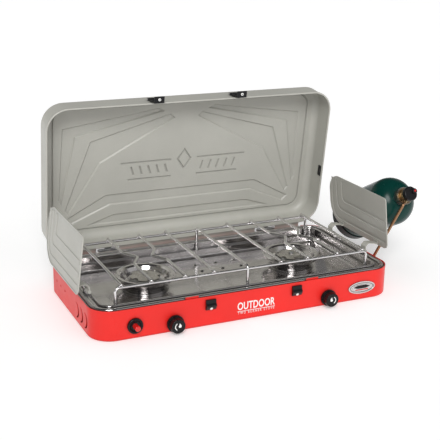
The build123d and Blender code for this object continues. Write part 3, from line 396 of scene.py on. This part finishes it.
def paper_floor():
    """A wide floor sheet of pale paper."""
    g = Graph("floor_paper")
    tone = g.mix(g.span(g.noise(3, 4, 0.6), 0.3, 0.7), (0.9, 0.9, 0.895), (0.93, 0.93, 0.93))
    paper = g.finish(Base_Color=tone, Roughness=0.9, Emission_Color=(1, 1, 1),
                     Emission_Strength=FLOOR_GLOW, Specular_IOR_Level=0.1,
                     Normal=g.bump(g.noise(300, 3), 30 * MICRON))
    mesh = bpy.data.meshes.new("floor")
    turns = ((-1, -1), (1, -1), (1, 1), (-1, 1))
    corners = [(x * FLOOR_REACH, y * FLOOR_REACH, FLOOR_HEIGHT) for x, y in turns]
    mesh.from_pydata(corners, [], [(0, 1, 2, 3)])
    mesh.materials.append(paper)
    floor = bpy.data.objects.new("floor", mesh)
    bpy.context.scene.collection.objects.link(floor)


def studio_world(ambient, ceiling, horizon):
    """Even white light for the scene, with a dark ceiling and pale walls for mirror reflections only."""
    world = bpy.data.worlds.new("studio")
    bpy.context.scene.world = world
    world.use_nodes = True
    tree = world.node_tree
    make = tree.nodes.new
    link = tree.links.new

    def background(color, strength=1.0):
        shader = make("ShaderNodeBackground")
        if isinstance(color, bpy.types.NodeSocket):
            link(color, shader.inputs["Color"])
        else:
            shader.inputs["Color"].default_value = color
        shader.inputs["Strength"].default_value = strength
        return shader.outputs[0]

    def choose(question, otherwise, chosen):
        shader = make("ShaderNodeMixShader")
        link(question, shader.inputs[0])
        link(otherwise, shader.inputs[1])
        link(chosen, shader.inputs[2])
        return shader.outputs[0]

    direction = make("ShaderNodeTexCoord").outputs["Generated"]
    height = make("ShaderNodeSeparateXYZ")
    link(direction, height.inputs[0])
    patches = make("ShaderNodeTexNoise")
    patches.inputs["Scale"].default_value = 2.2
    patches.inputs["Detail"].default_value = 1.0
    link(direction, patches.inputs["Vector"])
    lifted = make("ShaderNodeMath")
    lifted.operation = "MULTIPLY_ADD"
    lifted.inputs[1].default_value = 0.9
    link(patches.outputs["Fac"], lifted.inputs[0])
    link(height.outputs["Z"], lifted.inputs[2])
    ramp = make("ShaderNodeValToRGB")
    link(lifted.outputs[0], ramp.inputs[0])
    wall, roof = ramp.color_ramp.elements
    wall.position = 0.42
    wall.color = (horizon, horizon, horizon, 1)
    roof.position = 0.95
    roof.color = (ceiling, ceiling * 0.95, ceiling * 0.95, 1)

    rays = make("ShaderNodeLightPath").outputs
    white = (1, 1, 1, 1)
    room = choose(rays["Is Glossy Ray"], background(white, ambient), background(ramp.outputs[0]))
    seen = choose(rays["Is Camera Ray"], room, background(white))
    for node in list(tree.nodes):
        if node.type == "OUTPUT_WORLD":
            link(seen, node.inputs["Surface"])


def softlight(name, azimuth, elevation, power, softness):
    """A wide, even light from far away; angles in degrees."""
    light = bpy.data.lights.new(name, "SUN")
    light.energy = power
    light.angle = math.radians(softness)
    made = bpy.data.objects.new(name, light)
    azimuth = math.radians(azimuth)
    elevation = math.radians(elevation)
    toward = Vector((
        math.sin(azimuth) * math.cos(elevation),
        -math.cos(azimuth) * math.cos(elevation),
        math.sin(elevation),
    ))
    made.rotation_mode = "QUATERNION"
    made.rotation_quaternion = toward.to_track_quat("Z", "Y")
    bpy.context.scene.collection.objects.link(made)


paper_floor()
studio_world(ambient=0.45, ceiling=0.05, horizon=0.6)
softlight("key", azimuth=-24, elevation=36, power=2.0, softness=28)
softlight("fill", azimuth=42, elevation=24, power=0.3, softness=60)

# ---------------------------------------------------------------- camera

CAMERA_PLACE = (-0.7257, -1.54312, 0.69371)
CAMERA_YAW = 0.4381
CAMERA_PITCH = 0.3128
CAMERA_ROLL = 0.0187
CAMERA_LENS = 77.65

camera = bpy.data.objects.new("camera", bpy.data.cameras.new("camera"))
bpy.context.scene.collection.objects.link(camera)
bpy.context.scene.camera = camera
camera.data.lens = CAMERA_LENS
camera.data.sensor_width = 36
camera.data.clip_end = 60
forward = Vector((
    math.sin(CAMERA_YAW) * math.cos(CAMERA_PITCH),
    math.cos(CAMERA_YAW) * math.cos(CAMERA_PITCH),
    -math.sin(CAMERA_PITCH),
))
level = Vector((math.cos(CAMERA_YAW), -math.sin(CAMERA_YAW), 0))
above = level.cross(forward)
right = level * math.cos(CAMERA_ROLL) + above * math.sin(CAMERA_ROLL)
camera_up = above * math.cos(CAMERA_ROLL) - level * math.sin(CAMERA_ROLL)
turned = Matrix((right, camera_up, -forward)).transposed()
camera.matrix_world = Matrix.Translation(CAMERA_PLACE) @ turned.to_4x4()

bpy.context.scene.view_settings.view_transform = "Standard"
